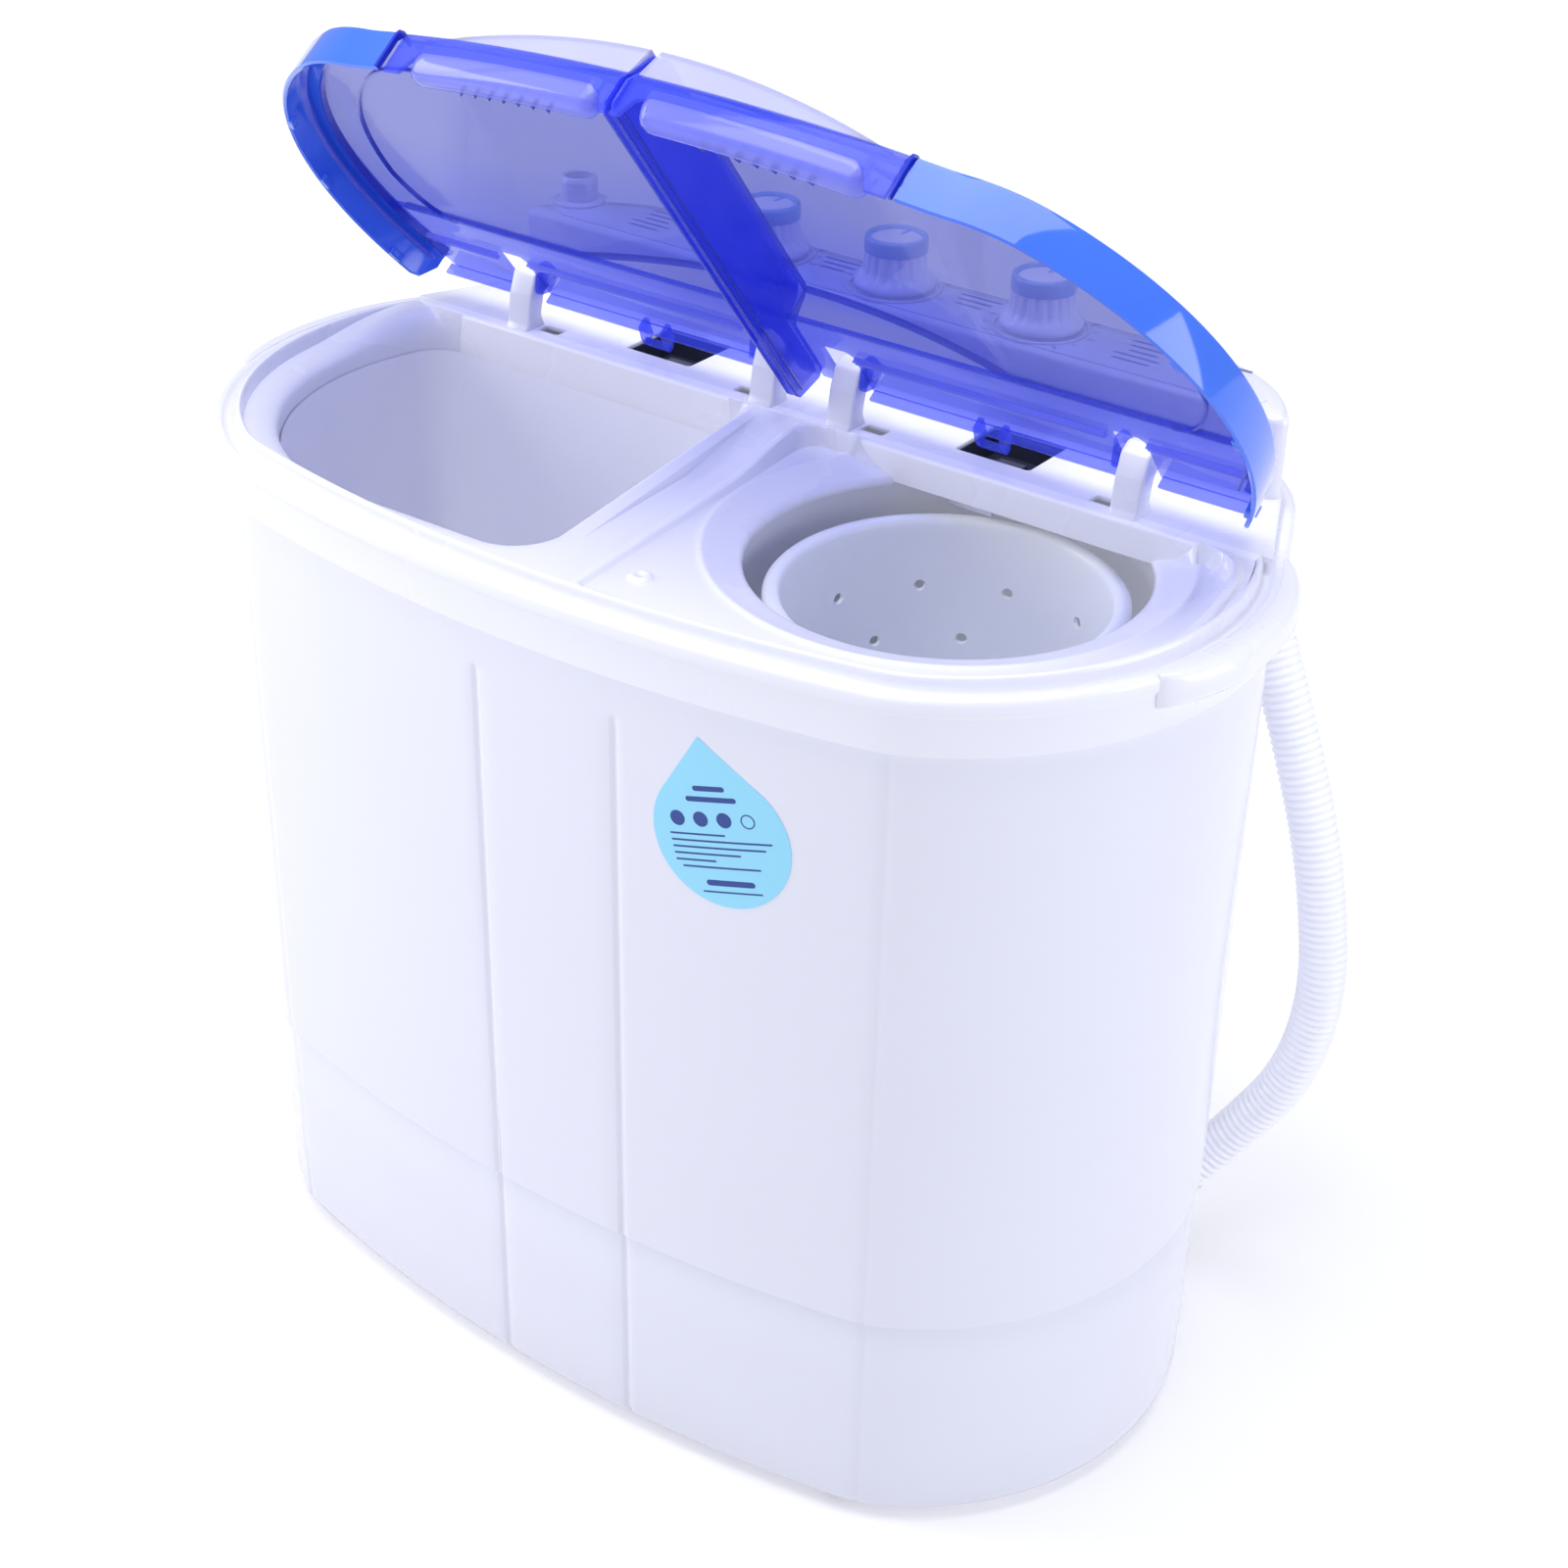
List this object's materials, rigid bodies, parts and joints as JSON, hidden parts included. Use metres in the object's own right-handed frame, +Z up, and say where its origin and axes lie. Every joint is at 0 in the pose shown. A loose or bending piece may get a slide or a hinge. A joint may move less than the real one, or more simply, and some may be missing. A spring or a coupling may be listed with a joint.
{
  "type": "twin tub washer",
  "caption": "Compact twin tub washer with a wash tub and a spin basket side by side, tinted see-through lids, a rear control console and a ribbed drain hose.",
  "frame": {"origin": "on the floor under the middle of the machine, at the bottom centre of its box without the free hose", "axes": "+Z up, +X towards the spin side, -Y towards the user at the front"},
  "size_m": [0.608, 0.377, 0.7212],
  "materials": {
    "white_plastic": "glossy moulded",
    "tub_plastic": "satin moulded",
    "blue_clear": "see-through tinted",
    "clear": "see-through",
    "rubber": "matt",
    "steel": "brushed",
    "aluminium": "plain",
    "timer_plastic": "matt",
    "dark_plastic": "matt",
    "printed_panel": "printed film",
    "label": "printed film",
    "hose": "ribbed"
  },
  "bodies": {
    "cabinet": {"base_shell": "white_plastic", "cabinet_shell": "white_plastic", "top_deck": "white_plastic", "hinge_posts": "white_plastic", "wash_tub": "tub_plastic", "spin_tub": "tub_plastic", "console_housing": "white_plastic", "console_fascia": "printed_panel", "left_handle": "white_plastic", "right_handle": "white_plastic", "foot_1": "rubber", "foot_2": "rubber", "foot_3": "rubber", "foot_4": "rubber", "back_panel": "white_plastic", "back_panel_screws": "steel", "droplet_label": "label", "cord_gland": "rubber", "water_inlet": "white_plastic", "drain_outlet": "white_plastic", "hose_holder": "white_plastic", "drain_valve": "white_plastic", "drain_manifold": "tub_plastic", "wash_bearing": "steel", "wash_motor": "steel", "drive_belt": "rubber", "spin_motor": "steel", "spin_motor_mounts": "rubber", "spin_bearing": "steel", "spin_bellows": "rubber", "brake_pivot": "steel", "capacitor": "aluminium", "wash_timer": "timer_plastic", "drain_selector": "timer_plastic", "spin_timer": "timer_plastic", "wash_switch_box": "dark_plastic", "spin_switch_box": "dark_plastic", "gap_bracket": "white_plastic", "deck_screw": "tub_plastic", "drain_hose": "hose"},
    "wash_lid": {"wash_lid_frame": "blue_clear", "wash_lid_window": "clear", "wash_lid_handle": "blue_clear"},
    "spin_lid": {"spin_lid_frame": "blue_clear", "spin_lid_window": "clear", "spin_lid_handle": "blue_clear"},
    "spin_rotor": {"basket_shell": "tub_plastic", "basket_ring": "tub_plastic", "basket_shaft": "steel", "brake_drum": "steel"},
    "pulsator_rotor": {"pulsator": "tub_plastic", "pulsator_cap": "steel", "pulsator_shaft": "steel", "driven_pulley": "white_plastic"},
    "motor_rotor": {"motor_pulley": "steel"},
    "wash_knob": {"wash_knob": "white_plastic"},
    "selector_knob": {"selector_knob": "white_plastic"},
    "spin_knob": {"spin_knob": "white_plastic"},
    "drain_plunger": {"drain_plunger": "steel"},
    "brake_lever": {"brake_lever": "steel"}
  },
  "joints": [
    {"name": "wash_lid_hinge", "type": "hinge", "parent": "cabinet", "child": "wash_lid", "pos_m": [-0.11, 0.069, 0.527], "axis": [-1, 0, 0], "range_deg": [-51.5, 38]},
    {"name": "spin_lid_hinge", "type": "hinge", "parent": "cabinet", "child": "spin_lid", "pos_m": [0.11, 0.069, 0.527], "axis": [-1, 0, 0], "range_deg": [-51.5, 38]},
    {"name": "basket_spin", "type": "hinge", "parent": "cabinet", "child": "spin_rotor", "pos_m": [0.139, -0.013, 0.2], "axis": [0, 0, 1], "continuous": true},
    {"name": "pulsator_spin", "type": "hinge", "parent": "cabinet", "child": "pulsator_rotor", "pos_m": [-0.145, -0.041, 0.15], "axis": [0, 0, 1], "continuous": true},
    {"name": "motor_spin", "type": "hinge", "parent": "cabinet", "child": "motor_rotor", "pos_m": [-0.04, 0.062, 0.1], "axis": [0, 0, 1], "continuous": true},
    {"name": "wash_timer_turn", "type": "hinge", "parent": "cabinet", "child": "wash_knob", "pos_m": [-0.088, 0.144, 0.55], "axis": [0, 0, 1], "range_deg": [-300, 0]},
    {"name": "selector_turn", "type": "hinge", "parent": "cabinet", "child": "selector_knob", "pos_m": [-0.004, 0.144, 0.55], "axis": [0, 0, 1], "range_deg": [-90.5, 0]},
    {"name": "spin_timer_turn", "type": "hinge", "parent": "cabinet", "child": "spin_knob", "pos_m": [0.088, 0.144, 0.55], "axis": [0, 0, 1], "range_deg": [-300, 0]},
    {"name": "drain_lift", "type": "slide", "parent": "cabinet", "child": "drain_plunger", "axis": [0, 0, 1], "range_m": [0, 0.01]},
    {"name": "brake_turn", "type": "hinge", "parent": "cabinet", "child": "brake_lever", "pos_m": [0.201, 0.04, 0.12], "axis": [0, 0, 1], "range_deg": [-2.2, 2.8]}
  ],
  "couplings": [
    {"joint": "motor_spin", "follows": "pulsator_spin", "ratio": 3.4375},
    {"joint": "selector_turn", "follows": "drain_lift", "rad_per_m": -157.08},
    {"joint": "brake_turn", "follows": "spin_lid_hinge", "ratio": -0.05}
  ]
}
